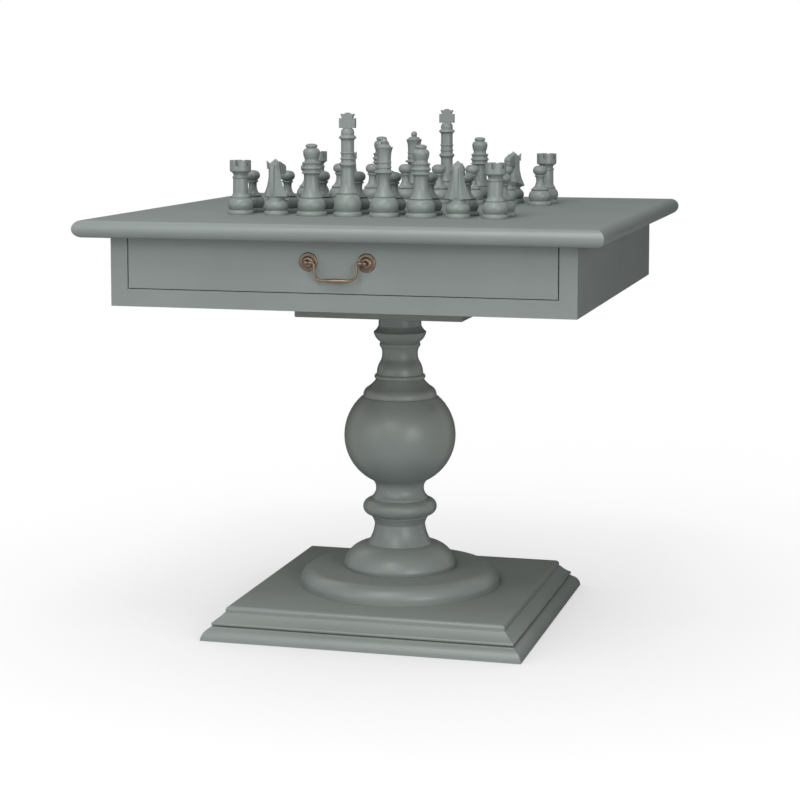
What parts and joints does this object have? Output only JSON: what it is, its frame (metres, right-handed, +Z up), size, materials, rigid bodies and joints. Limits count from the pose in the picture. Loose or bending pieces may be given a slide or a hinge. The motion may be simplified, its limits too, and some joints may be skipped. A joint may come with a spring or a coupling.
{
  "type": "pedestal chess table",
  "caption": "Square pedestal game table with an inlaid chess board flush in its top, a shallow drawer with a bail pull, a turned column on a stepped square base, and its chessmen.",
  "frame": {"origin": "on the floor, under the middle of the square base", "axes": "+Z up through the column, the drawer front faces -Y, +X to the right as one faces the drawer"},
  "size_m": [0.9144, 0.9144, 0.9429],
  "materials": {
    "painted_wood": "satin grey-green paint over hardwood",
    "light_squares": "satin grey-green paint over maple squares",
    "dark_squares": "satin grey-green paint over walnut squares",
    "stringing": "satin grey-green paint over a narrow border strip",
    "bare_wood": "sanded bare poplar inside the case and drawer",
    "aged_bronze": "aged bronze, rubbed lighter on the high spots",
    "steel": "zinc plated"
  },
  "bodies": {
    "table": {"apron_back": "painted_wood", "apron_side_left": "painted_wood", "apron_side_right": "painted_wood", "base_lower_board": "painted_wood", "base_screws": "steel", "base_upper_board": "painted_wood", "board_squares_dark": "dark_squares", "board_squares_light": "light_squares", "board_stringing": "stringing", "case_bottom": "bare_wood", "column": "painted_wood", "corner_blocks": "bare_wood", "drawer_kicker_left": "bare_wood", "drawer_kicker_right": "bare_wood", "drawer_runner_left": "bare_wood", "drawer_runner_right": "bare_wood", "drawer_stops": "bare_wood", "edge_rail_back": "painted_wood", "edge_rail_front": "painted_wood", "edge_rail_left": "painted_wood", "edge_rail_right": "painted_wood", "front_bottom_rail": "painted_wood", "front_stile_left": "painted_wood", "front_stile_right": "painted_wood", "mounting_plate": "painted_wood", "plate_screws": "steel", "round_plinth": "painted_wood", "tie_rod": "steel", "tie_rod_nuts": "steel", "tie_rod_washers": "steel", "top_field_panel": "painted_wood", "top_screws": "steel"},
    "drawer": {"drawer_front": "painted_wood", "drawer_side_left": "bare_wood", "drawer_side_right": "bare_wood", "drawer_back": "bare_wood", "drawer_bottom": "bare_wood", "pull_rosettes": "aged_bronze", "pull_posts": "aged_bronze", "pull_nuts": "aged_bronze"},
    "bail": {"bail_handle": "aged_bronze"},
    "far_bishops": {"far_bishops": "painted_wood"},
    "far_king": {"far_king": "painted_wood"},
    "far_knights": {"far_knights": "painted_wood"},
    "far_pawns": {"far_pawns": "painted_wood"},
    "far_queen": {"far_queen": "painted_wood"},
    "far_rooks": {"far_rooks": "painted_wood"},
    "near_bishops": {"near_bishops": "painted_wood"},
    "near_king": {"near_king": "painted_wood"},
    "near_knights": {"near_knights": "painted_wood"},
    "near_pawns": {"near_pawns": "painted_wood"},
    "near_queen": {"near_queen": "painted_wood"},
    "near_rooks": {"near_rooks": "painted_wood"}
  },
  "joints": [
    {"name": "drawer_slide", "type": "slide", "parent": "table", "child": "drawer", "axis": [0, -1, 0], "range_m": [0, 0.34]},
    {"name": "bail_swing", "type": "hinge", "parent": "drawer", "child": "bail", "pos_m": [0, -0.4189, 0.6962], "axis": [-1, 0, 0], "range_deg": [-12, 160]},
    {"name": "far_bishops_lift", "type": "slide", "parent": "table", "child": "far_bishops", "axis": [0, 0, 1], "range_m": [0, 0.1]},
    {"name": "far_king_lift", "type": "slide", "parent": "table", "child": "far_king", "axis": [0, 0, 1], "range_m": [0, 0.1]},
    {"name": "far_knights_lift", "type": "slide", "parent": "table", "child": "far_knights", "axis": [0, 0, 1], "range_m": [0, 0.1]},
    {"name": "far_pawns_lift", "type": "slide", "parent": "table", "child": "far_pawns", "axis": [0, 0, 1], "range_m": [0, 0.1]},
    {"name": "far_queen_lift", "type": "slide", "parent": "table", "child": "far_queen", "axis": [0, 0, 1], "range_m": [0, 0.1]},
    {"name": "far_rooks_lift", "type": "slide", "parent": "table", "child": "far_rooks", "axis": [0, 0, 1], "range_m": [0, 0.1]},
    {"name": "near_bishops_lift", "type": "slide", "parent": "table", "child": "near_bishops", "axis": [0, 0, 1], "range_m": [0, 0.1]},
    {"name": "near_king_lift", "type": "slide", "parent": "table", "child": "near_king", "axis": [0, 0, 1], "range_m": [0, 0.1]},
    {"name": "near_knights_lift", "type": "slide", "parent": "table", "child": "near_knights", "axis": [0, 0, 1], "range_m": [0, 0.1]},
    {"name": "near_pawns_lift", "type": "slide", "parent": "table", "child": "near_pawns", "axis": [0, 0, 1], "range_m": [0, 0.1]},
    {"name": "near_queen_lift", "type": "slide", "parent": "table", "child": "near_queen", "axis": [0, 0, 1], "range_m": [0, 0.1]},
    {"name": "near_rooks_lift", "type": "slide", "parent": "table", "child": "near_rooks", "axis": [0, 0, 1], "range_m": [0, 0.1]}
  ]
}
